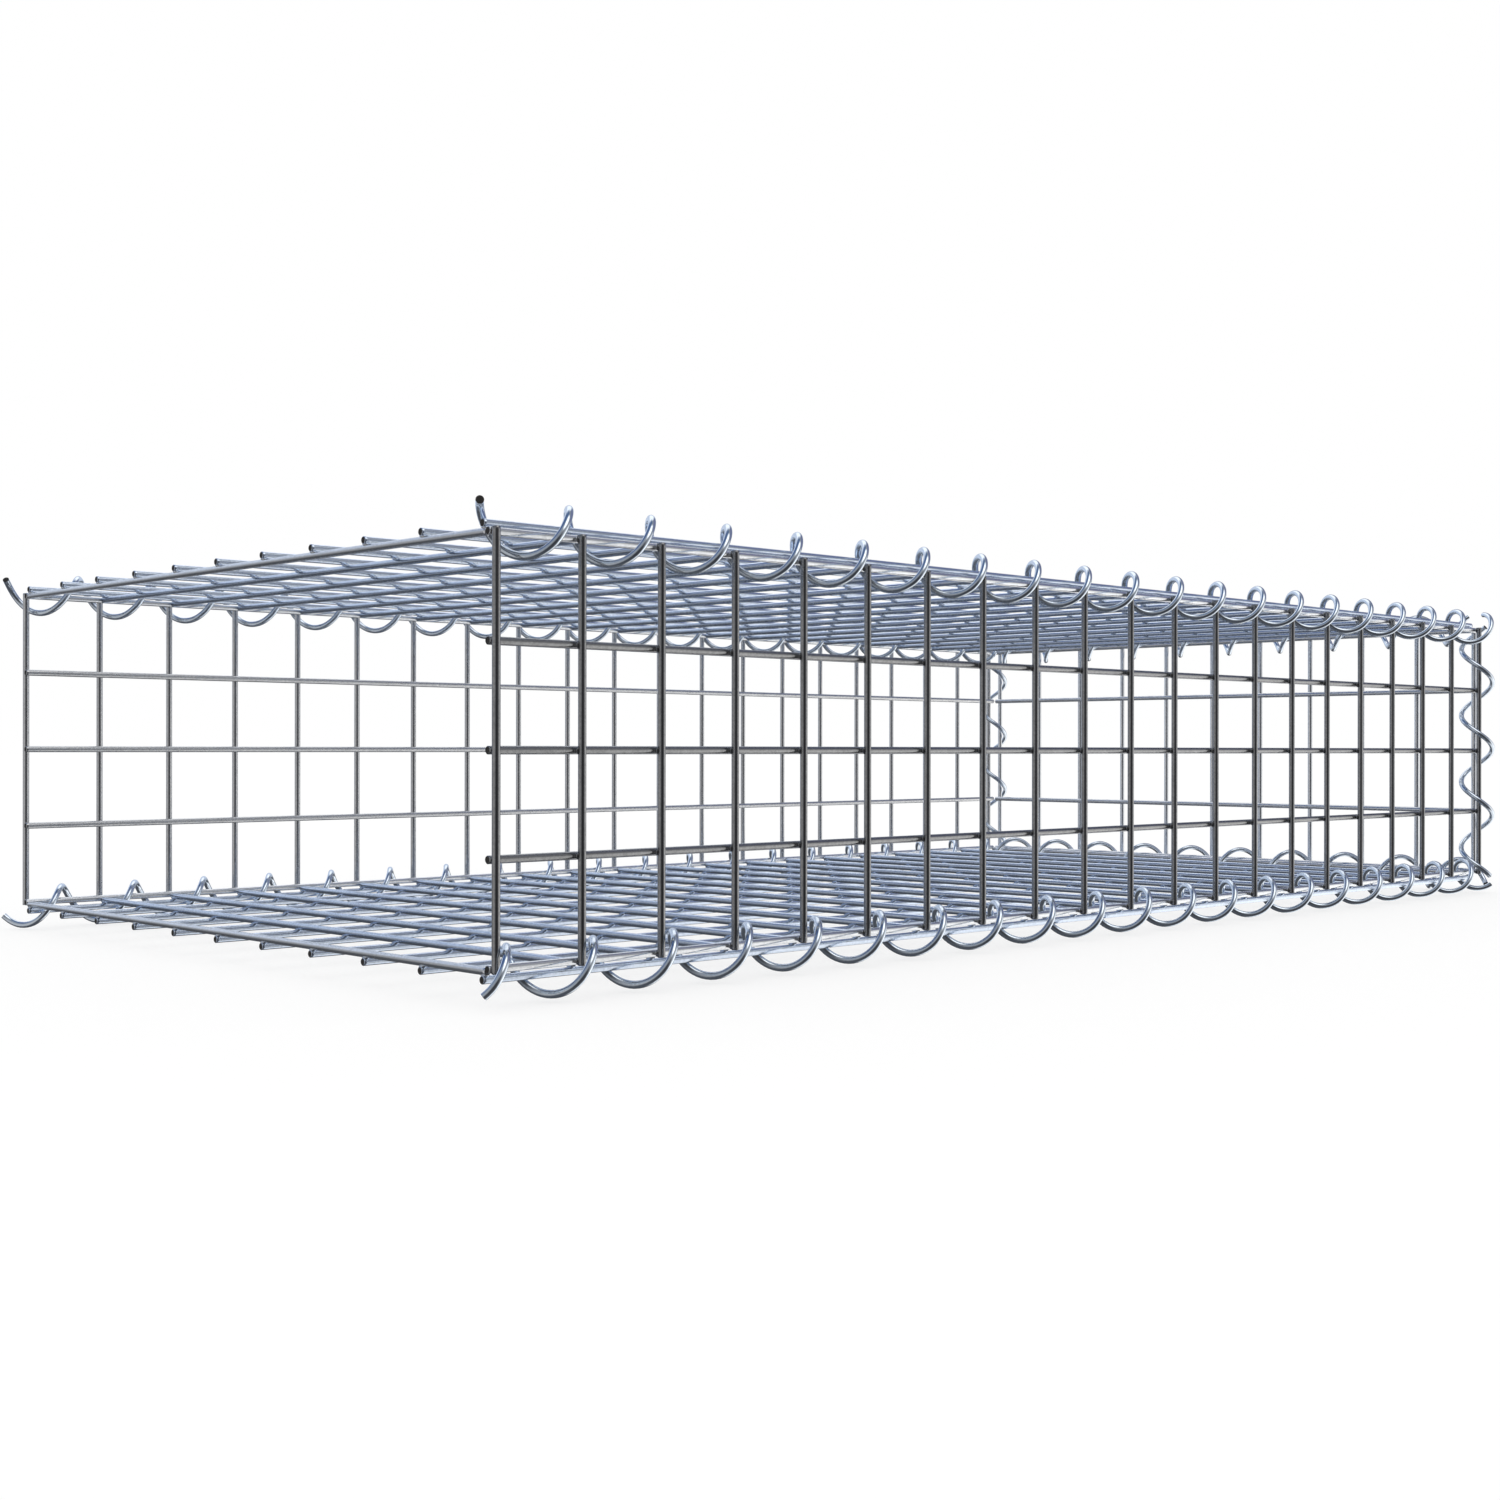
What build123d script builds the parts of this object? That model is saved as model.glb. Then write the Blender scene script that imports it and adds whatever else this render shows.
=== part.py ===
from build123d import *
import math
import os

os.makedirs("parts", exist_ok=True)

# Gabion basket, extension type: five panels of welded wire mesh, laced edge to edge by
# wire coils that are screwed through both edges. The -X end is open, and is closed by
# the next basket of the row. Millimetres, +X along the basket, +Z up.
# Origin: on the ground, under the middle of the mesh box.

# Welded mesh
wire_d = 4.0            # galvanised wire of the panels
mesh = 50.0             # square mesh, wire centre to wire centre
long_cell_count = 20    # 1000 mm along X
deep_cell_count = 10    # 500 mm along Y
high_cell_count = 4     # 200 mm along Z
wire_overhang = 2.0     # a wire's end past the middle of the last wire that it crosses
weld_relief = 0.05      # wires inside the border pass this far from each other, see welded_panel
wire_sides = 6          # drawn wire as a hexagonal bar, flat on flat at each weld

# How the panels stand to each other
side_gap = 0.2          # cut ends of the lid's and base's cross wires to the side walls
end_gap = 0.5           # last cross wire of lid and base to the end wall
base_slack = 1.2        # the base hangs this much below the walls' lowest wires

# Lacing coils, all left-handed, with one turn to a cell
coil_wire_d = 4.0
coil_mean_d = 24.0      # middle of the wire to middle of the wire, across a turn
coil_seat_gap = 0.17    # inside of a turn to the border wire in it, corner to corner of the bars
coil_sides = 5
steps_per_turn = 8

# How much longer each coil is than the row of cells that it laces
front_lid_extra = 20.0
front_base_extra = 20.0
rear_lid_extra = 24.0
rear_base_extra = 20.0
end_lid_extra = 23.0
end_base_extra = 19.5
corner_extra = 20.0

# How far before the first wire of that row each coil's first turn starts
front_lid_lead = 7.8
front_base_lead = 11.5
rear_lid_lead = 11.0
rear_base_lead = 11.0
end_lid_lead = 12.2
end_base_lead = 13.8
corner_lead = 10.0

# Height of the coils' axes above the lid's cross wires, and below the walls' lowest wires
lid_coil_rise = 1.4
front_base_coil_drop = 2.2
rear_base_coil_drop = 2.8
end_base_coil_drop = 3.0

# Angle of each coil's first section, from the top (corner coils: from +X)
front_lid_angle = 0.0
front_base_angle = -134.1
rear_lid_angle = 40.0
rear_base_angle = 120.0
end_lid_angle = -55.0
end_base_angle = -177.0
front_corner_angle = 53.6
rear_corner_angle = -43.7

# Worked out from the sizes above
wire_corner_r = wire_d / 2 / math.cos(math.pi / wire_sides)
coil_wire_area = math.pi * coil_wire_d ** 2 / 4
coil_wire_r = math.sqrt(2 * coil_wire_area / coil_sides / math.sin(2 * math.pi / coil_sides))
bend = math.cos(math.pi / steps_per_turn)
coil_corner_r = coil_mean_d / (1 + bend)
coil_outer_r = coil_corner_r + coil_wire_r / bend
seat_reach = coil_corner_r * bend - coil_wire_r - wire_corner_r - coil_seat_gap

half_long = long_cell_count * mesh / 2
half_deep = deep_cell_count * mesh / 2
half_high = high_cell_count * mesh / 2
side_wall = half_deep + wire_overhang + side_gap + wire_d / 2
end_wall = half_long + wire_d / 2 + end_gap + wire_d / 2
middle = half_high + end_base_coil_drop + coil_outer_r
lid_level = middle + half_high
base_level = middle - half_high - base_slack


def welded_panel(label, inner, inner_cells, outer_cells):
    """Mesh panel on a plane through its inner wires, which run along the plane's x.

    The outer wires run along its y, one wire further along its z. Every wire is welded
    to the border wires that it ends on. Crossings inside the border keep a hair of
    relief, so that a panel is one solid with few faces.
    """
    inner_length = outer_cells * mesh + 2 * wire_overhang
    outer_length = inner_cells * mesh + 2 * wire_overhang
    inner_row = Plane(
        inner.origin - inner.x_dir * (inner_length / 2), x_dir=inner.y_dir, z_dir=inner.x_dir
    )
    outer_row = Plane(
        inner.origin - inner.y_dir * (outer_length / 2), x_dir=inner.x_dir, z_dir=-inner.y_dir
    )
    with BuildPart() as panel:
        with BuildSketch(inner_row):
            for i in range(inner_cells + 1):
                level = weld_relief if i in (0, inner_cells) else 0
                with Locations(((i - inner_cells / 2) * mesh, level)):
                    RegularPolygon(wire_corner_r, wire_sides)
        extrude(amount=inner_length)
        with BuildSketch(outer_row):
            for i in range(outer_cells + 1):
                level = wire_d if i in (0, outer_cells) else wire_d + weld_relief
                with Locations(((i - outer_cells / 2) * mesh, level)):
                    RegularPolygon(wire_corner_r, wire_sides)
        extrude(amount=-outer_length)
    panel.part.label = label
    export_step(panel.part, f"parts/{label}.step")
    return panel.part


def lacing_coil(label, axis, turns, extra, angle, skip_start=0, skip_end=0):
    """Coil along the plane's z, its angle measured from the plane's x, clockwise.

    skip_start and skip_end are the steps cut off its ends, where coils meet at a corner.
    """
    pitch = mesh + extra / turns
    points = []
    for step in range(skip_start, turns * steps_per_turn - skip_end + 1):
        turned = step / steps_per_turn
        a = math.radians(angle) + 2 * math.pi * turned
        outward = axis.x_dir * math.cos(a) - axis.y_dir * math.sin(a)
        points.append(axis.origin + outward * coil_corner_r + axis.z_dir * (pitch * turned))
    with BuildPart() as coil:
        with BuildLine():
            Polyline(*points)
        with BuildSketch(Plane(points[0], z_dir=points[1] - points[0])):
            RegularPolygon(coil_wire_r, coil_sides)
        sweep(transition=Transition.RIGHT)
    coil.part.label = label
    export_step(coil.part, f"parts/{label}.step")
    return coil.part


def seat_offset(axis_height, wire_height):
    """How far outside a lid's or base's border wire a coil's axis lies, for it to seat."""
    return math.sqrt(seat_reach ** 2 - (wire_height - axis_height) ** 2)


# Side walls: inner wires along X, uprights outside
front_panel = welded_panel(
    "front_panel", Plane((0, -side_wall, middle), x_dir=(1, 0, 0), z_dir=(0, -1, 0)),
    high_cell_count, long_cell_count,
)
rear_panel = welded_panel(
    "rear_panel", Plane((0, side_wall, middle), x_dir=(-1, 0, 0), z_dir=(0, 1, 0)),
    high_cell_count, long_cell_count,
)

# End wall: inner wires along Y, uprights outside
end_panel = welded_panel(
    "end_panel", Plane((end_wall, 0, middle), x_dir=(0, 1, 0), z_dir=(1, 0, 0)),
    high_cell_count, deep_cell_count,
)

# Lid and base: inner wires along Y, long wires outside
lid_panel = welded_panel(
    "lid_panel", Plane((0, 0, lid_level), x_dir=(0, 1, 0), z_dir=(0, 0, 1)),
    long_cell_count, deep_cell_count,
)
base_panel = welded_panel(
    "base_panel", Plane((0, 0, base_level), x_dir=(0, 1, 0), z_dir=(0, 0, -1)),
    long_cell_count, deep_cell_count,
)

# Long coils, on the lid's and base's border wires along X
lid_coil_level = lid_level + lid_coil_rise
walls_low_level = middle - half_high
for where, side, sign, level, wire_level, lead, extra, angle in (
    ("lid", "front", -1, lid_coil_level, lid_level + wire_d,
     front_lid_lead, front_lid_extra, front_lid_angle),
    ("lid", "rear", 1, lid_coil_level, lid_level + wire_d,
     rear_lid_lead, rear_lid_extra, rear_lid_angle),
    ("base", "front", -1, walls_low_level - front_base_coil_drop, base_level - wire_d,
     front_base_lead, front_base_extra, front_base_angle),
    ("base", "rear", 1, walls_low_level - rear_base_coil_drop, base_level - wire_d,
     rear_base_lead, rear_base_extra, rear_base_angle),
):
    outside = half_deep + seat_offset(level, wire_level)
    start = Plane((-half_long - lead, sign * outside, level), x_dir=(0, 0, 1), z_dir=(1, 0, 0))
    lacing_coil(f"coil_{where}_{side}", start, long_cell_count, extra, angle)

# End coils, on the lid's and base's last cross wires
for where, level, wire_level, lead, extra, angle, skip in (
    ("lid", lid_coil_level, lid_level, end_lid_lead, end_lid_extra, end_lid_angle, 2),
    ("base", walls_low_level - end_base_coil_drop, base_level,
     end_base_lead, end_base_extra, end_base_angle, 1),
):
    outside = half_long + seat_offset(level, wire_level)
    start = Plane((outside, -half_deep - lead, level), x_dir=(0, 0, 1), z_dir=(0, 1, 0))
    lacing_coil(f"coil_{where}_end", start, deep_cell_count, extra, angle, skip_start=skip)

# Corner coils, round the last uprights of a side wall and of the end wall,
# and seated on the end wall's
side_upright = (half_long, side_wall + wire_d)
end_upright = (end_wall + wire_d, half_deep)
apart_x = end_upright[0] - side_upright[0]
apart_y = end_upright[1] - side_upright[1]
from_end = seat_reach / math.hypot(apart_x, apart_y)
corner_x = end_upright[0] - apart_x * from_end
corner_y = end_upright[1] - apart_y * from_end
for side, sign, angle, skip in (
    ("front", -1, front_corner_angle, 1),
    ("rear", 1, rear_corner_angle, 0),
):
    start = Plane(
        (corner_x, sign * corner_y, walls_low_level - corner_lead), x_dir=(1, 0, 0), z_dir=(0, 0, 1)
    )
    lacing_coil(
        f"coil_corner_{side}", start, high_cell_count, corner_extra, angle,
        skip_start=skip, skip_end=1,
    )
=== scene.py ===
import math

import bpy
from mathutils import Matrix, Vector


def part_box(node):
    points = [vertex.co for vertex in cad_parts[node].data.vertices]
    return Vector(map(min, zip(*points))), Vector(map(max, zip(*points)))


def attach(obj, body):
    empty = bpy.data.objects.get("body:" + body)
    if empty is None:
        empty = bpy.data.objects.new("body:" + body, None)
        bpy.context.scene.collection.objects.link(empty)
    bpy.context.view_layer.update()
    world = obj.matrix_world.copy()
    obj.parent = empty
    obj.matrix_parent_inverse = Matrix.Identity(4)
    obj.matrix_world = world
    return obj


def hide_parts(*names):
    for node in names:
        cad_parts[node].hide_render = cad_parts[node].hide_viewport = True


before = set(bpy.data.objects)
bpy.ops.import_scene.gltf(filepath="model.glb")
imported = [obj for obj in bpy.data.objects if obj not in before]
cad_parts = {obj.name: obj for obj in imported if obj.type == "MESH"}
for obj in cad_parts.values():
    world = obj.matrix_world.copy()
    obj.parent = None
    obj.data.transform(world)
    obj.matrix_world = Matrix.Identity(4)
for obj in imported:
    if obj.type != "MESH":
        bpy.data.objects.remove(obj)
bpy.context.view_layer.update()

# Welded mesh: sizes in metres, and counts
CELL = 0.050
WIRE = 0.004
OVERHANG = 0.002
CELLS_LONG = 20
CELLS_DEEP = 10
CELLS_HIGH = 4
WIRE_SIDES = 20
CUT_BEVEL = 0.0003
WELD_WIDTH = 0.0044
WELD_DEPTH = 0.0017
WELD_SEGMENTS = 8
WELD_RINGS = 6

# A straight wire starts as a cylinder with six even rings. By their distance from its middle,
# as a share of its half, the end's lie beyond END_RANK and the collar's within COLLAR_RANK
SHAFT_SEGMENTS = 5
END_RANK = 0.8
COLLAR_RANK = 0.4
COLLAR_BEVELS = 4  # the collar's width, in bevels

# Only the flat cut ends have faces with more corners than this
SIDE_CORNERS = 4

# Lacing coils, with the radius to the middle of the wire
COIL_WIRE = 0.004
COIL_RADIUS = 0.012
COIL_SIDES = 16
POINTS_PER_TURN = 40


# Node tree helpers, with the places of a mix node's colour sockets
MIX_SHARE = 0
MIX_GROUND = 6
MIX_COVER = 7
MIX_RESULT = 2


def add(tree, kind, **settings):
    """A node of that kind, with its settings."""
    node = tree.nodes.new(kind)
    for name, value in settings.items():
        setattr(node, name, value)
    return node


def give(tree, socket, value):
    """Links a socket to another one, or sets its value."""
    if isinstance(value, bpy.types.NodeSocket):
        tree.links.new(value, socket)
    else:
        socket.default_value = value


def feed(tree, node, **inputs):
    """Links or sets a node's inputs; underscores in a name stand for spaces."""
    for name, value in inputs.items():
        give(tree, node.inputs[name.replace("_", " ")], value)
    return node


def new_tree(name, inputs):
    """A geometry tree with the named inputs and one geometry output."""
    tree = bpy.data.node_groups.new(name, "GeometryNodeTree")
    for label, kind in inputs:
        tree.interface.new_socket(label, in_out="INPUT", socket_type=kind)
    tree.interface.new_socket("Geometry", in_out="OUTPUT", socket_type="NodeSocketGeometry")
    return tree, tree.nodes.new("NodeGroupInput"), tree.nodes.new("NodeGroupOutput")


def number(tree, operation, a, b=0.0):
    """The result of an operation on two sockets or values; some only use the first."""
    node = add(tree, "ShaderNodeMath", operation=operation)
    give(tree, node.inputs[0], a)
    give(tree, node.inputs[1], b)
    return node.outputs[0]


def mixed(tree, share, ground, cover):
    """A colour between ground and cover, by cover's share."""
    node = add(tree, "ShaderNodeMix", data_type="RGBA")
    for place, value in ((MIX_SHARE, share), (MIX_GROUND, ground), (MIX_COVER, cover)):
        give(tree, node.inputs[place], value)
    return node.outputs[MIX_RESULT]


def vector(tree, x=0.0, y=0.0, z=0.0):
    """A vector of three sockets or values."""
    return feed(tree, add(tree, "ShaderNodeCombineXYZ"), X=x, Y=y, Z=z).outputs[0]


def moved(tree, geometry, offset=None, turn=None):
    """Geometry after one turn and one move."""
    node = feed(tree, add(tree, "GeometryNodeTransform"), Geometry=geometry)
    if offset is not None:
        feed(tree, node, Translation=offset)
    if turn is not None:
        node.inputs["Rotation"].default_value = turn
    return node.outputs[0]


def joined(tree, *geometries):
    """All the geometries as one."""
    node = add(tree, "GeometryNodeJoinGeometry")
    for geometry in geometries:
        tree.links.new(geometry, node.inputs[0])
    return node.outputs[0]


def point_place(tree):
    """The X, Y and Z of a geometry's points."""
    parts = add(tree, "ShaderNodeSeparateXYZ")
    tree.links.new(add(tree, "GeometryNodeInputPosition").outputs[0], parts.inputs[0])
    return parts.outputs


def span_of(tree, count, step):
    """From the first to the last of count things that lie step apart."""
    return number(tree, "MULTIPLY", number(tree, "SUBTRACT", count, 1), step)


def drawn_wire(tree, length, wire_d, sides, bevel):
    """A straight round wire along Z about the origin, its cut ends bevelled.

    Its six rings move out to the ends, three to each: the end's, the bevel's foot and a
    collar, which keeps the shading of the long shaft straight.
    """
    radius = number(tree, "MULTIPLY", wire_d, 0.5)
    half = number(tree, "MULTIPLY", length, 0.5)
    rod = feed(
        tree, add(tree, "GeometryNodeMeshCylinder"),
        Vertices=sides, Side_Segments=SHAFT_SEGMENTS, Radius=radius, Depth=length,
    ).outputs["Mesh"]
    place = point_place(tree)
    along = number(tree, "DIVIDE", place["Z"], half)
    rank = number(tree, "ABSOLUTE", along)
    end_ring = number(tree, "GREATER_THAN", rank, END_RANK)
    collar_ring = number(tree, "LESS_THAN", rank, COLLAR_RANK)
    bevels = number(
        tree, "ADD", number(tree, "SUBTRACT", 1.0, end_ring),
        number(tree, "MULTIPLY", collar_ring, COLLAR_BEVELS))
    reach = number(tree, "SUBTRACT", half, number(tree, "MULTIPLY", bevel, bevels))
    level = number(tree, "MULTIPLY", number(tree, "SIGN", along), reach)
    cut_back = number(tree, "DIVIDE", number(tree, "MULTIPLY", end_ring, bevel), radius)
    width = number(tree, "SUBTRACT", 1.0, cut_back)
    cut = feed(
        tree, add(tree, "GeometryNodeSetPosition"), Geometry=rod,
        Position=vector(
            tree, number(tree, "MULTIPLY", place["X"], width),
            number(tree, "MULTIPLY", place["Y"], width), level),
    ).outputs[0]
    return smoothed(tree, cut)


def cut_ends(tree):
    """Chooses the flat cut ends: 1 on them, 0 on all other faces."""
    corners = add(tree, "GeometryNodeInputMeshFaceNeighbors").outputs["Vertex Count"]
    return number(tree, "GREATER_THAN", corners, SIDE_CORNERS)


def smoothed(tree, geometry):
    """Smooth shading on all faces but the cut ends."""
    return feed(
        tree, add(tree, "GeometryNodeSetShadeSmooth"), Geometry=geometry,
        Shade_Smooth=number(tree, "SUBTRACT", 1.0, cut_ends(tree)),
    ).outputs[0]


def row(tree, count, step, axis, wire):
    """The wire instanced count times, step apart along X or Y, about the origin."""
    start = number(tree, "MULTIPLY", span_of(tree, count, step), -0.5)
    line = add(tree, "GeometryNodeMeshLine", mode="OFFSET")
    feed(
        tree, line, Count=count,
        Start_Location=vector(tree, **{axis: start}), Offset=vector(tree, **{axis: step}),
    )
    return feed(
        tree, add(tree, "GeometryNodeInstanceOnPoints"), Points=line.outputs[0], Instance=wire
    ).outputs[0]


def coated(tree, geometry, material, chosen=True):
    """Geometry with the chosen faces in a material."""
    return feed(
        tree, add(tree, "GeometryNodeSetMaterial"), Geometry=geometry, Selection=chosen,
        Material=material,
    ).outputs[0]


PANEL_INPUTS = (
    ("Inner Wires", "NodeSocketInt"), ("Outer Wires", "NodeSocketInt"),
    ("Cell", "NodeSocketFloat"), ("Wire Diameter", "NodeSocketFloat"),
    ("Overhang", "NodeSocketFloat"), ("Sides", "NodeSocketInt"),
    ("Cut Bevel", "NodeSocketFloat"), ("Weld Width", "NodeSocketFloat"),
    ("Weld Depth", "NodeSocketFloat"), ("Material", "NodeSocketMaterial"),
    ("Border Material", "NodeSocketMaterial"), ("Cut Material", "NodeSocketMaterial"),
)


def border_wires(tree, count, cell, wire_d):
    """Chooses the first and the last of the inner wires."""
    place = point_place(tree)
    half = number(tree, "MULTIPLY", span_of(tree, count, cell), 0.5)
    reach = number(tree, "SUBTRACT", half, wire_d)
    far_out = number(tree, "GREATER_THAN", number(tree, "ABSOLUTE", place["Y"]), reach)
    inner = number(tree, "LESS_THAN", place["Z"], number(tree, "MULTIPLY", wire_d, 0.5))
    return number(tree, "MULTIPLY", far_out, inner)


def panel_tree():
    """Welded mesh about its inner wires' plane: inner wires along X, outer ones along Y."""
    tree, given, out = new_tree("welded mesh", PANEL_INPUTS)
    value = given.outputs
    cell, wire_d = value["Cell"], value["Wire Diameter"]
    rows = []
    for count, across, axis, turn, level in (
        (value["Inner Wires"], value["Outer Wires"], "y", (0, math.pi / 2, 0), 0.0),
        (value["Outer Wires"], value["Inner Wires"], "x", (math.pi / 2, 0, 0), wire_d),
    ):
        both_overhangs = number(tree, "MULTIPLY", value["Overhang"], 2.0)
        length = number(tree, "ADD", span_of(tree, across, cell), both_overhangs)
        wire = drawn_wire(tree, length, wire_d, value["Sides"], value["Cut Bevel"])
        laid = moved(tree, wire, turn=turn)
        rows.append(moved(tree, row(tree, count, cell, axis, laid), vector(tree, z=level)))
    # One metre wide, and pressed to the weld's own sizes
    ball = feed(
        tree, add(tree, "GeometryNodeMeshUVSphere"), Segments=WELD_SEGMENTS, Rings=WELD_RINGS,
        Radius=0.5,
    )
    nugget = smoothed(tree, ball.outputs["Mesh"])
    pressed = feed(
        tree, add(tree, "GeometryNodeTransform"), Geometry=nugget,
        Scale=vector(tree, value["Weld Width"], value["Weld Width"], value["Weld Depth"]),
    ).outputs[0]
    line = row(tree, value["Outer Wires"], cell, "x", pressed)
    lines = row(tree, value["Inner Wires"], cell, "y", line)
    welds = moved(tree, lines, vector(tree, z=number(tree, "MULTIPLY", wire_d, 0.5)))
    whole = feed(
        tree, add(tree, "GeometryNodeRealizeInstances"), Geometry=joined(tree, *rows, welds),
    ).outputs[0]
    done = coated(tree, whole, value["Material"])
    # The first and last inner wires take the border material, the brightest copy of the wire, as
    # painted light
    border = border_wires(tree, value["Inner Wires"], cell, wire_d)
    done = coated(tree, done, value["Border Material"], border)
    done = coated(tree, done, value["Cut Material"], cut_ends(tree))
    tree.links.new(done, out.inputs[0])
    return tree


COIL_INPUTS = (
    ("Turns", "NodeSocketFloat"), ("Pitch", "NodeSocketFloat"), ("Radius", "NodeSocketFloat"),
    ("Wire Diameter", "NodeSocketFloat"), ("Sides", "NodeSocketInt"),
    ("Points per Turn", "NodeSocketInt"), ("Material", "NodeSocketMaterial"),
    ("Cut Material", "NodeSocketMaterial"),
)


def coil_tree():
    """Left-handed coil of wire along +Z, from the origin, its first point on +X."""
    tree, given, out = new_tree("lacing coil", COIL_INPUTS)
    value = given.outputs
    spiral = feed(
        tree, add(tree, "GeometryNodeCurveSpiral"),
        Resolution=value["Points per Turn"], Rotations=value["Turns"],
        Start_Radius=value["Radius"], End_Radius=value["Radius"],
        Height=number(tree, "MULTIPLY", value["Turns"], value["Pitch"]), Reverse=False,
    ).outputs[0]
    section = feed(
        tree, add(tree, "GeometryNodeCurvePrimitiveCircle", mode="RADIUS"),
        Resolution=value["Sides"], Radius=number(tree, "MULTIPLY", value["Wire Diameter"], 0.5),
    ).outputs[0]
    wire = feed(
        tree, add(tree, "GeometryNodeCurveToMesh"), Curve=spiral, Profile_Curve=section,
        Fill_Caps=True,
    ).outputs[0]
    whole = feed(
        tree, add(tree, "GeometryNodeRealizeInstances"), Geometry=smoothed(tree, wire),
    ).outputs[0]
    done = coated(tree, whole, value["Material"])
    done = coated(tree, done, value["Cut Material"], cut_ends(tree))
    tree.links.new(done, out.inputs[0])
    return tree


def made(name, tree, place, **inputs):
    """One plain mesh object from a tree, with its place in its mesh."""
    rough = bpy.data.objects.new(name + "_tree", bpy.data.meshes.new(name + "_seed"))
    bpy.context.scene.collection.objects.link(rough)
    modifier = rough.modifiers.new("shape", "NODES")
    modifier.node_group = tree
    sockets = {
        item.name: item.identifier for item in tree.interface.items_tree
        if item.in_out == "INPUT"
    }
    for label, value in inputs.items():
        modifier[sockets[label.replace("_", " ")]] = value
    bpy.context.view_layer.update()
    seen = rough.evaluated_get(bpy.context.evaluated_depsgraph_get())
    mesh = bpy.data.meshes.new_from_object(seen)
    mesh.name = name
    mesh.transform(place)
    piece = bpy.data.objects.new(name, mesh)
    bpy.context.scene.collection.objects.link(piece)
    rough.modifiers.clear()
    bpy.data.objects.remove(rough)
    return piece


def placed(origin, x_axis, z_axis):
    """The matrix that takes a tree's X and Z to those axes, from that origin."""
    x, z = Vector(x_axis), Vector(z_axis)
    matrix = Matrix((x, z.cross(x), z)).transposed().to_4x4()
    matrix.translation = Vector(origin)
    return matrix


# The zinc coat's spangle, dull patches and grit, in grains to a metre
SPANGLE_SCALE = 900.0
PATCH_SCALE = 60.0
GRIT_SCALE = 700.0

# The spangle's share of the wear, the rest being the patches'; the wear at which the coat is
# smoothest and roughest; and the height of the grit
SPANGLE_SHARE = 0.45
LEAST_WORN = 0.25
MOST_WORN = 0.75
RELIEF = 0.0002


def zinc_group():
    """Galvanised wire: spangle, dull patches and grit, from Object coordinates."""
    group = bpy.data.node_groups.new("zinc coat", "ShaderNodeTree")
    for label, kind, value in (
        ("Bright", "NodeSocketColor", (0.8, 0.8, 0.8, 1)),
        ("Dull", "NodeSocketColor", (0.5, 0.5, 0.5, 1)),
        ("Spangle Scale", "NodeSocketFloat", SPANGLE_SCALE),
        ("Patch Scale", "NodeSocketFloat", PATCH_SCALE),
        ("Smoothest", "NodeSocketFloat", 0.2), ("Roughest", "NodeSocketFloat", 0.4),
    ):
        socket = group.interface.new_socket(label, in_out="INPUT", socket_type=kind)
        socket.default_value = value
    for label, kind in (
        ("Color", "NodeSocketColor"), ("Roughness", "NodeSocketFloat"),
        ("Height", "NodeSocketFloat"),
    ):
        group.interface.new_socket(label, in_out="OUTPUT", socket_type=kind)
    given, out = group.nodes.new("NodeGroupInput"), group.nodes.new("NodeGroupOutput")
    place = add(group, "ShaderNodeTexCoord").outputs["Object"]
    spangle = feed(
        group, add(group, "ShaderNodeTexVoronoi"), Vector=place,
        Scale=given.outputs["Spangle Scale"],
    )
    flake = add(group, "ShaderNodeRGBToBW")
    group.links.new(spangle.outputs["Color"], flake.inputs[0])
    patch = feed(
        group, add(group, "ShaderNodeTexNoise"), Vector=place,
        Scale=given.outputs["Patch Scale"], Detail=4.0, Roughness=0.6,
    ).outputs["Fac"]
    worn = number(
        group, "ADD", number(group, "MULTIPLY", flake.outputs[0], SPANGLE_SHARE),
        number(group, "MULTIPLY", patch, 1.0 - SPANGLE_SHARE),
    )
    colour = mixed(group, worn, given.outputs["Bright"], given.outputs["Dull"])
    group.links.new(colour, out.inputs["Color"])
    rough = feed(
        group, add(group, "ShaderNodeMapRange"), Value=worn, From_Min=LEAST_WORN,
        From_Max=MOST_WORN, To_Min=given.outputs["Smoothest"],
        To_Max=given.outputs["Roughest"],
    )
    group.links.new(rough.outputs[0], out.inputs["Roughness"])
    grit = feed(
        group, add(group, "ShaderNodeTexNoise"), Vector=place, Scale=GRIT_SCALE, Detail=3.0,
    ).outputs["Fac"]
    group.links.new(grit, out.inputs["Height"])
    return group


def zinc_material(name, group, bright, dull, smoothest, roughest, metallic=1.0, bump=0.15):
    """A metal with the zinc coat's colours and roughness, and its grit as a bump."""
    material = bpy.data.materials.new(name)
    material.use_nodes = True
    tree = material.node_tree
    shader = tree.nodes["Principled BSDF"]
    coat = add(tree, "ShaderNodeGroup", node_tree=group)
    feed(
        tree, coat, Bright=(*bright, 1), Dull=(*dull, 1), Smoothest=smoothest,
        Roughest=roughest,
    )
    tree.links.new(coat.outputs["Color"], shader.inputs["Base Color"])
    tree.links.new(coat.outputs["Roughness"], shader.inputs["Roughness"])
    shader.inputs["Metallic"].default_value = metallic
    relief = feed(
        tree, add(tree, "ShaderNodeBump"), Strength=bump, Distance=RELIEF,
        Height=coat.outputs["Height"],
    )
    tree.links.new(relief.outputs[0], shader.inputs["Normal"])
    return material
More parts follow.
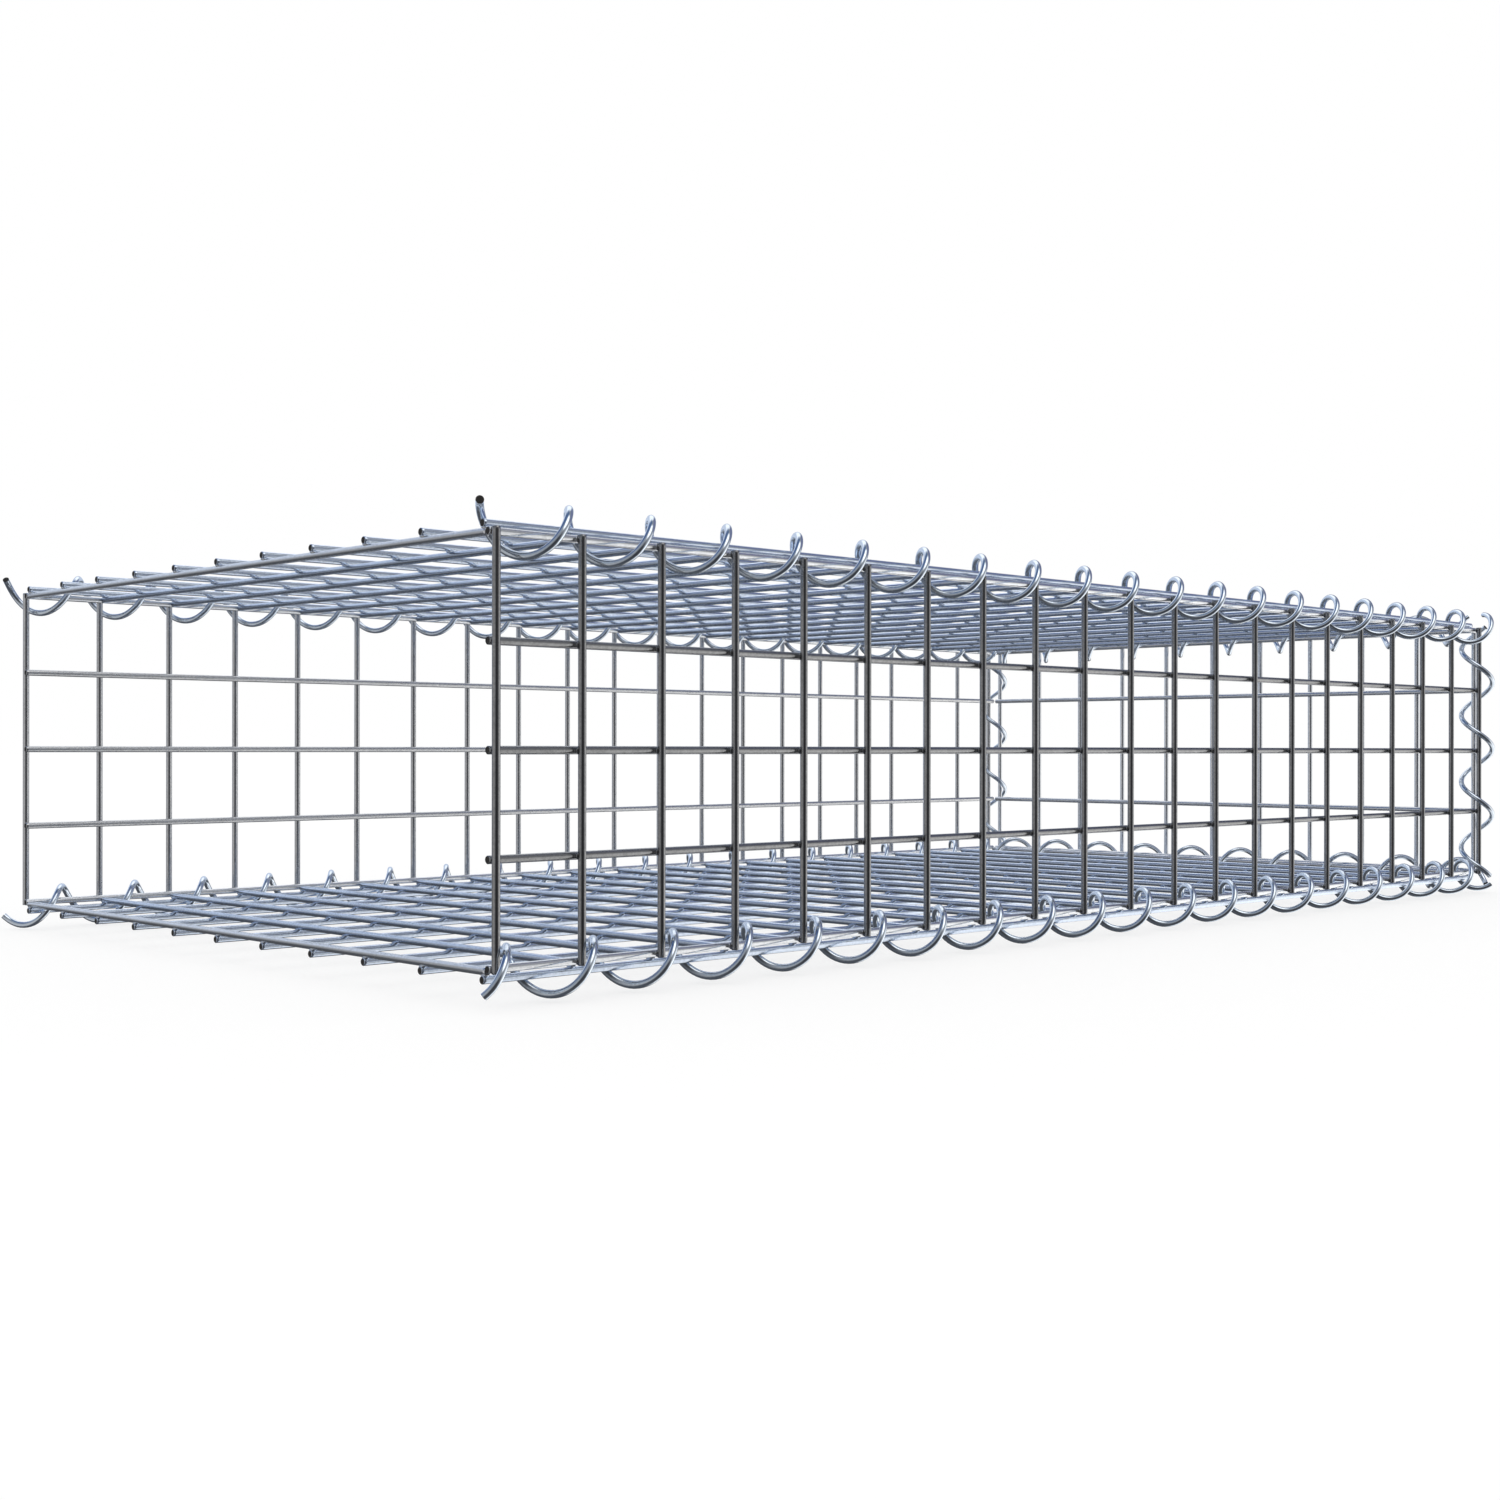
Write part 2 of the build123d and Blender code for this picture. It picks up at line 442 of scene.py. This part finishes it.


# The wire and its cut ends, as lit and shaded copies of one galvanised wire: the front wall's
# wire is darker, as painted shade; the rear wall's and the bluer lid's and base's are lighter,
# as painted light;
# the end wall and each panel's first and last inner wires are brightest, as painted light; the
# cut ends are painted near-black, as painted shade
zinc = zinc_group()
# Darker copy of the wire: painted shade on the front wall
SHADED_FRONT_ZINC = zinc_material(
    "galvanised front wire in painted shade", zinc, (0.44, 0.44, 0.44), (0.26, 0.26, 0.26),
    smoothest=0.14, roughest=0.26)
# Lighter copy of the wire: painted light on the rear wall
LIT_REAR_ZINC = zinc_material(
    "galvanised rear wire in painted light", zinc, (0.80, 0.80, 0.80), (0.56, 0.56, 0.56),
    smoothest=0.16, roughest=0.28)
# Lighter, bluer copy of the wire: painted light on the lid and base
LIT_LEVEL_ZINC = zinc_material(
    "galvanised lid and base wire in painted light", zinc, (0.82, 0.90, 1.0), (0.60, 0.68, 0.83),
    smoothest=0.12, roughest=0.24)
# Brightest copy of the wire: painted light on the end wall and each panel's border wires
HIGHLIT_ZINC = zinc_material(
    "galvanised wire in painted light", zinc, (0.96, 0.97, 0.98), (0.74, 0.76, 0.79),
    smoothest=0.12, roughest=0.24)
COIL_ZINC = zinc_material(
    "galvanised coil wire", zinc, (0.88, 0.94, 1.0), (0.70, 0.78, 0.88),
    smoothest=0.06, roughest=0.14, bump=0.08)
# The cut ends: bare sheared steel, rougher and less metallic, its colour painted near-black as
# painted shade
SHADED_CUT_STEEL = zinc_material(
    "sheared wire end in painted shade", zinc, (0.08, 0.075, 0.07), (0.035, 0.033, 0.03),
    smoothest=0.5, roughest=0.7, metallic=0.7, bump=0.4)


def middle_of(node):
    """The middle of a node's box in the frame."""
    low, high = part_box(node)
    return (low + high) / 2


# Panels: where each one's inner wires' plane lies, the directions of its inner wires and of
# its outside, its cells across the inner wires and across the outer ones, and its zinc, darker
# or lighter as painted shade and painted light
centre = middle_of("front_panel").z
panels = panel_tree()
X, Y, Z = (1, 0, 0), (0, 1, 0), (0, 0, 1)
DOWN, LEFT, FRONT = (0, 0, -1), (-1, 0, 0), (0, -1, 0)
PANELS = (
    ("front_panel", (0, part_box("front_panel")[1].y - WIRE / 2, centre), X, FRONT,
     CELLS_HIGH, CELLS_LONG, SHADED_FRONT_ZINC),
    ("rear_panel", (0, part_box("rear_panel")[0].y + WIRE / 2, centre), LEFT, Y,
     CELLS_HIGH, CELLS_LONG, LIT_REAR_ZINC),
    ("end_panel", (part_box("end_panel")[0].x + WIRE / 2, 0, centre), Y, X,
     CELLS_HIGH, CELLS_DEEP, HIGHLIT_ZINC),
    ("lid_panel", (0, 0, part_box("lid_panel")[0].z + WIRE / 2), Y, Z,
     CELLS_LONG, CELLS_DEEP, LIT_LEVEL_ZINC),
    ("base_panel", (0, 0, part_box("base_panel")[1].z - WIRE / 2), Y, DOWN,
     CELLS_LONG, CELLS_DEEP, LIT_LEVEL_ZINC),
)
for node, origin, along, outward, inner_cells, outer_cells, zinc_with_painted_light in PANELS:
    piece = made(
        node + "_wire", panels, placed(origin, along, outward),
        Inner_Wires=inner_cells + 1, Outer_Wires=outer_cells + 1, Cell=CELL,
        Wire_Diameter=WIRE, Overhang=OVERHANG, Sides=WIRE_SIDES, Cut_Bevel=CUT_BEVEL,
        Weld_Width=WELD_WIDTH, Weld_Depth=WELD_DEPTH, Material=zinc_with_painted_light,
        Border_Material=HIGHLIT_ZINC, Cut_Material=SHADED_CUT_STEEL,
    )
    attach(piece, "root")
    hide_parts(node)

# Coils: each one's axis, the cells that it laces, how far before them its first turn starts,
# its pitch, its first angle from the top (corner coils: from +X) as it was screwed in, and
# the steps cut off its first and its last end, where coils meet at a corner
STEP = 1 / 8  # of a turn
COILS = (
    ("coil_lid_front", X, CELLS_LONG, 0.0078, 0.0510, 0.0, 0, 0),
    ("coil_lid_rear", X, CELLS_LONG, 0.0110, 0.0512, 40.0, 0, 0),
    ("coil_base_front", X, CELLS_LONG, 0.0115, 0.0510, -134.1, 0, 0),
    ("coil_base_rear", X, CELLS_LONG, 0.0110, 0.0510, 120.0, 0, 0),
    ("coil_lid_end", Y, CELLS_DEEP, 0.0122, 0.0523, -55.0, 2, 0),
    ("coil_base_end", Y, CELLS_DEEP, 0.0138, 0.05195, -177.0, 1, 0),
    ("coil_corner_front", Z, CELLS_HIGH, 0.0100, 0.0550, 53.6, 1, 1),
    ("coil_corner_rear", Z, CELLS_HIGH, 0.0100, 0.0550, -43.7, 0, 1),
)
coils = coil_tree()
mesh_middle = Vector((0, 0, centre))
for node, axis, cells, lead, pitch, angle, cut_first, cut_last in COILS:
    along = axis.index(1)
    origin = middle_of(node)
    origin[along] = mesh_middle[along] - cells * CELL / 2 - lead + cut_first * STEP * pitch
    turns = cells - (cut_first + cut_last) * STEP
    first_side = X if axis is Z else Z
    turned = Matrix.Rotation(-math.radians(angle + cut_first * STEP * 360), 4, "Z")
    place = placed(origin, first_side, axis) @ turned
    piece = made(
        node + "_wire", coils, place, Turns=float(turns), Pitch=pitch, Radius=COIL_RADIUS,
        Wire_Diameter=COIL_WIRE, Sides=COIL_SIDES, Points_per_Turn=POINTS_PER_TURN,
        Material=COIL_ZINC, Cut_Material=SHADED_CUT_STEEL,
    )
    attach(piece, "root")
    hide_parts(node)


# Floor and light
FLOOR_SIZE = 60
FLOOR_COLOUR = 0.32
FLOOR_GLOW = 0.69
TENT_RADIUS = 4.0
TENT_SEGMENTS = 64
TENT_RINGS = 32

# What the tent round the basket shows to the gloss of the wire, each card over those before
# it: its compass bearing from +Y towards +X and its height, both in degrees, the angle from
# there to its full part's edge and to its own edge, and its colour
TENT_CLOTH = (0.30, 0.31, 0.33)
TENT_CARDS = (
    ("dark_floor", 240, -90, 72, 98, (0.08, 0.085, 0.095)),
    ("grey_wall_left", 280, -4, 12, 44, (0.52, 0.52, 0.53)),
    ("black_flag", 205, -2, 12, 40, (0.05, 0.05, 0.055)),
    ("grey_blue_left", 285, 50, 10, 46, (0.26, 0.30, 0.36)),
    ("pale_blue_far", 12, 32, 28, 56, (0.60, 0.67, 0.80)),
    ("deep_blue_far", 318, 54, 8, 28, (0.045, 0.085, 0.23)),
    ("dusk_blue_right", 95, 34, 20, 37, (0.18, 0.20, 0.31)),
    ("white_far_top", 32, 55, 10, 28, (1.15, 1.17, 1.20)),
    ("blue_top", 300, 80, 8, 30, (0.10, 0.16, 0.28)),
    ("white_wall_right", 126, -12, 16, 38, (0.95, 0.95, 0.95)),
    ("white_floor_right", 102, -31, 18, 40, (1.25, 1.25, 1.25)),
    ("white_floor_near", 118, -54, 12, 32, (0.9, 0.9, 0.9)),
    ("white_high", 182, 58, 12, 28, (1.4, 1.4, 1.4)),
)


def floor_material():
    """Pale floor; its glow brings it to white, and leaves it the basket's shadow."""
    material = bpy.data.materials.new("pale floor")
    material.use_nodes = True
    tree = material.node_tree
    path = add(tree, "ShaderNodeLightPath").outputs
    seen = number(tree, "MAXIMUM", path["Is Camera Ray"], path["Is Glossy Ray"])
    seen = number(tree, "MAXIMUM", seen, path["Is Transmission Ray"])
    feed(
        tree, tree.nodes["Principled BSDF"], Roughness=0.9, Specular_IOR_Level=0.0,
        Base_Color=(FLOOR_COLOUR, FLOOR_COLOUR, FLOOR_COLOUR, 1), Emission_Color=(1, 1, 1, 1),
        Emission_Strength=number(tree, "MULTIPLY", seen, FLOOR_GLOW),
    )
    return material


def laid_floor():
    """The floor; in the gloss of the wire the tent's lower half shows in its place."""
    mesh = bpy.data.meshes.new("floor")
    side = FLOOR_SIZE / 2
    mesh.from_pydata(
        [(-side, -side, 0), (side, -side, 0), (side, side, 0), (-side, side, 0)], [],
        [(0, 1, 2, 3)])
    mesh.materials.append(floor_material())
    floor = bpy.data.objects.new("floor", mesh)
    floor.visible_glossy = False
    bpy.context.scene.collection.objects.link(floor)


def white_world():
    """Even white light all round."""
    world = bpy.data.worlds.new("studio")
    bpy.context.scene.world = world
    world.use_nodes = True
    world.node_tree.nodes["Background"].inputs["Color"].default_value = (1, 1, 1, 1)


def bearing(compass, height):
    """The direction of a compass bearing and a height, in degrees."""
    east_of_y, up = math.radians(compass), math.radians(height)
    return (math.sin(east_of_y) * math.cos(up), math.cos(east_of_y) * math.cos(up), math.sin(up))


def tent_material():
    """Cloth with its cards, each a round patch with a soft edge."""
    material = bpy.data.materials.new("studio tent")
    material.use_nodes = True
    tree = material.node_tree
    tree.nodes.remove(tree.nodes["Principled BSDF"])
    glow = add(tree, "ShaderNodeEmission")
    tree.links.new(glow.outputs[0], tree.nodes["Material Output"].inputs["Surface"])
    ray = add(tree, "ShaderNodeVectorMath", operation="NORMALIZE")
    tree.links.new(add(tree, "ShaderNodeTexCoord").outputs["Object"], ray.inputs[0])
    colour = (*TENT_CLOTH, 1)
    for name, compass, height, full, edge, card in TENT_CARDS:
        near = add(tree, "ShaderNodeVectorMath", operation="DOT_PRODUCT", label=name)
        tree.links.new(ray.outputs[0], near.inputs[0])
        near.inputs[1].default_value = bearing(compass, height)
        shown = feed(
            tree, add(tree, "ShaderNodeMapRange", interpolation_type="SMOOTHSTEP"),
            Value=near.outputs["Value"], From_Min=math.cos(math.radians(edge)),
            From_Max=math.cos(math.radians(full)),
        )
        colour = mixed(tree, shown.outputs[0], colour, (*card, 1))
    tree.links.new(colour, glow.inputs["Color"])
    return material


def studio_tent():
    """A tent round the basket that only the gloss of the wire shows."""
    bpy.ops.mesh.primitive_uv_sphere_add(
        radius=TENT_RADIUS, segments=TENT_SEGMENTS, ring_count=TENT_RINGS)
    tent = bpy.context.object
    tent.name = "studio_tent"
    tent.data.materials.append(tent_material())
    tent.visible_camera = False
    tent.visible_diffuse = False
    tent.visible_transmission = False
    tent.visible_volume_scatter = False
    tent.visible_shadow = False


white_world()
laid_floor()
studio_tent()


# Camera, fitted to the mesh crossings of the photo
IMAGE_SIDE = 1500
FOCAL_PIXELS = 1855.84
SENSOR = 36.0
FAR_CLIP = 100.0
CAMERA_PLACE = (-1.0029, -0.9453, centre + 0.0006)
YAW = math.radians(43.99)
PITCH = math.radians(-0.0265)
ROLL = math.radians(0.073)


def photo_camera():
    """The scene's camera, turned by yaw, pitch and roll from a level look along +Y."""
    data = bpy.data.cameras.new("camera")
    data.sensor_width = SENSOR
    data.lens = FOCAL_PIXELS / IMAGE_SIDE * SENSOR
    data.clip_end = FAR_CLIP
    ahead = Vector((math.sin(YAW) * math.cos(PITCH), math.cos(YAW) * math.cos(PITCH),
                    math.sin(PITCH)))
    level = Vector((math.cos(YAW), -math.sin(YAW), 0))
    upright = level.cross(ahead)
    right = level * math.cos(ROLL) + upright * math.sin(ROLL)
    up = upright * math.cos(ROLL) - level * math.sin(ROLL)
    camera = bpy.data.objects.new("camera", data)
    camera.matrix_world = Matrix((right, up, -ahead)).transposed().to_4x4()
    camera.location = CAMERA_PLACE
    bpy.context.scene.collection.objects.link(camera)
    bpy.context.scene.camera = camera


photo_camera()
bpy.context.scene.view_settings.view_transform = "Standard"
